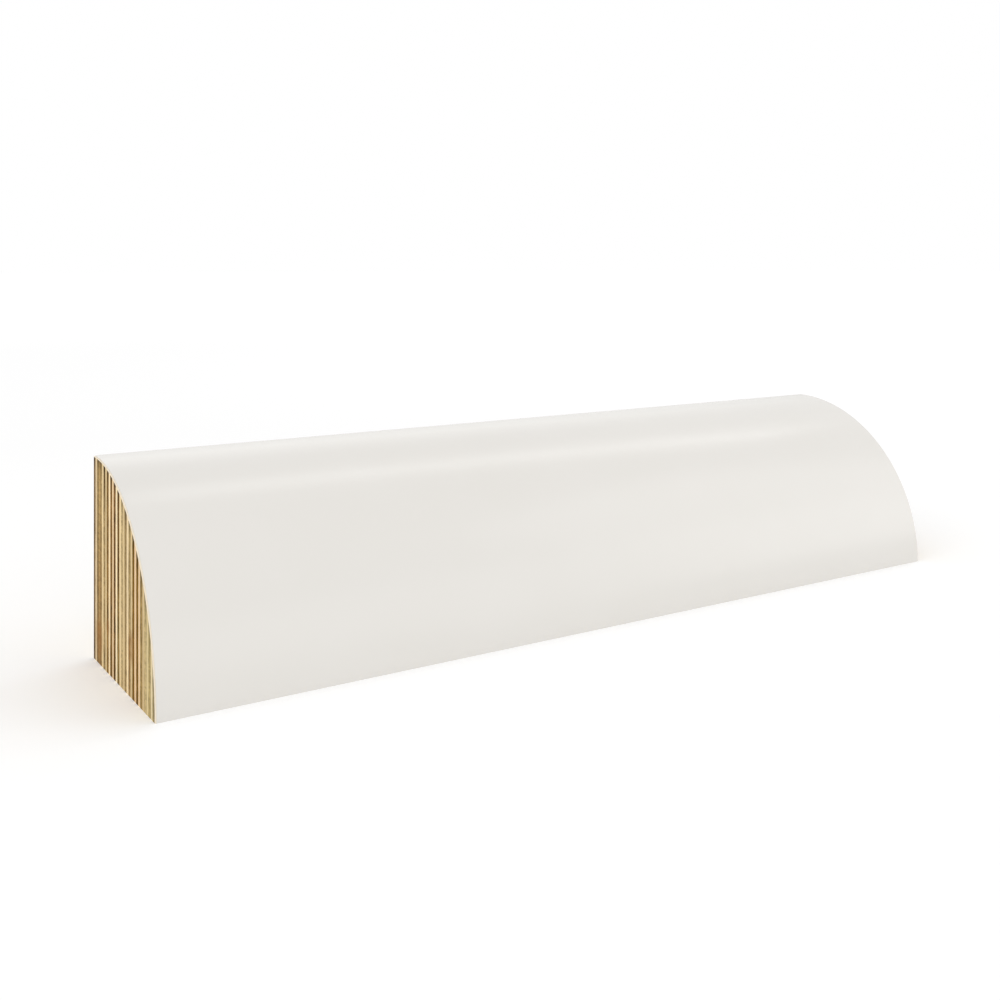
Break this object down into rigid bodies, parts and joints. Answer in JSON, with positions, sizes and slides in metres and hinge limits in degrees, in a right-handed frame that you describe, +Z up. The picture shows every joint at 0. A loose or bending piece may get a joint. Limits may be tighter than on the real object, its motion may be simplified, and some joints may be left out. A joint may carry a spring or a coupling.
{
  "type": "quarter round moulding",
  "caption": "Quarter round moulding: short straight stick of upright laminated veneer milled to a quarter circle, satin off-white on its curve and bare wood elsewhere.",
  "frame": {"origin": "centre of the bottom face, halfway along the length and halfway from back to front", "axes": "+X along the moulding from its left end to its right end, seen from the curved side; +Y out of the back face, into the wall it is nailed to; the curve faces -Y and +Z; +Z up, with the bottom face on z = 0"},
  "size_m": [0.0952, 0.019, 0.0191],
  "materials": {
    "satin_enamel": "satin warm off-white enamel over cream primer",
    "long_grain_veneer": "bare sawn veneer, grain along the moulding, brown end grain at the sawn ends",
    "cross_grain_veneer": "bare sawn veneer, grain upright, pale straw side grain at the sawn ends"
  },
  "bodies": {
    "root": {"front_edge_veneer": "long_grain_veneer", "paint_coat": "satin_enamel", "veneer_01_long_grain": "long_grain_veneer", "veneer_02_cross_grain": "cross_grain_veneer", "veneer_03_long_grain": "long_grain_veneer", "veneer_04_cross_grain": "cross_grain_veneer", "veneer_05_long_grain": "long_grain_veneer", "veneer_06_cross_grain": "cross_grain_veneer", "veneer_07_long_grain": "long_grain_veneer", "veneer_08_cross_grain": "cross_grain_veneer", "veneer_09_long_grain": "long_grain_veneer", "veneer_10_cross_grain": "cross_grain_veneer", "veneer_11_long_grain": "long_grain_veneer", "veneer_12_cross_grain": "cross_grain_veneer", "veneer_13_long_grain": "long_grain_veneer", "veneer_14_cross_grain": "cross_grain_veneer", "veneer_15_long_grain": "long_grain_veneer", "veneer_16_cross_grain": "cross_grain_veneer", "veneer_17_long_grain": "long_grain_veneer", "veneer_18_cross_grain": "cross_grain_veneer", "veneer_19_long_grain": "long_grain_veneer", "veneer_20_cross_grain": "cross_grain_veneer", "veneer_21_long_grain": "long_grain_veneer", "veneer_22_cross_grain": "cross_grain_veneer", "veneer_23_long_grain": "long_grain_veneer", "veneer_24_cross_grain": "cross_grain_veneer", "veneer_25_long_grain": "long_grain_veneer", "veneer_26_cross_grain": "cross_grain_veneer", "veneer_27_long_grain": "long_grain_veneer", "veneer_28_cross_grain": "cross_grain_veneer", "veneer_29_long_grain": "long_grain_veneer", "veneer_30_cross_grain": "cross_grain_veneer"}
  },
  "joints": []
}
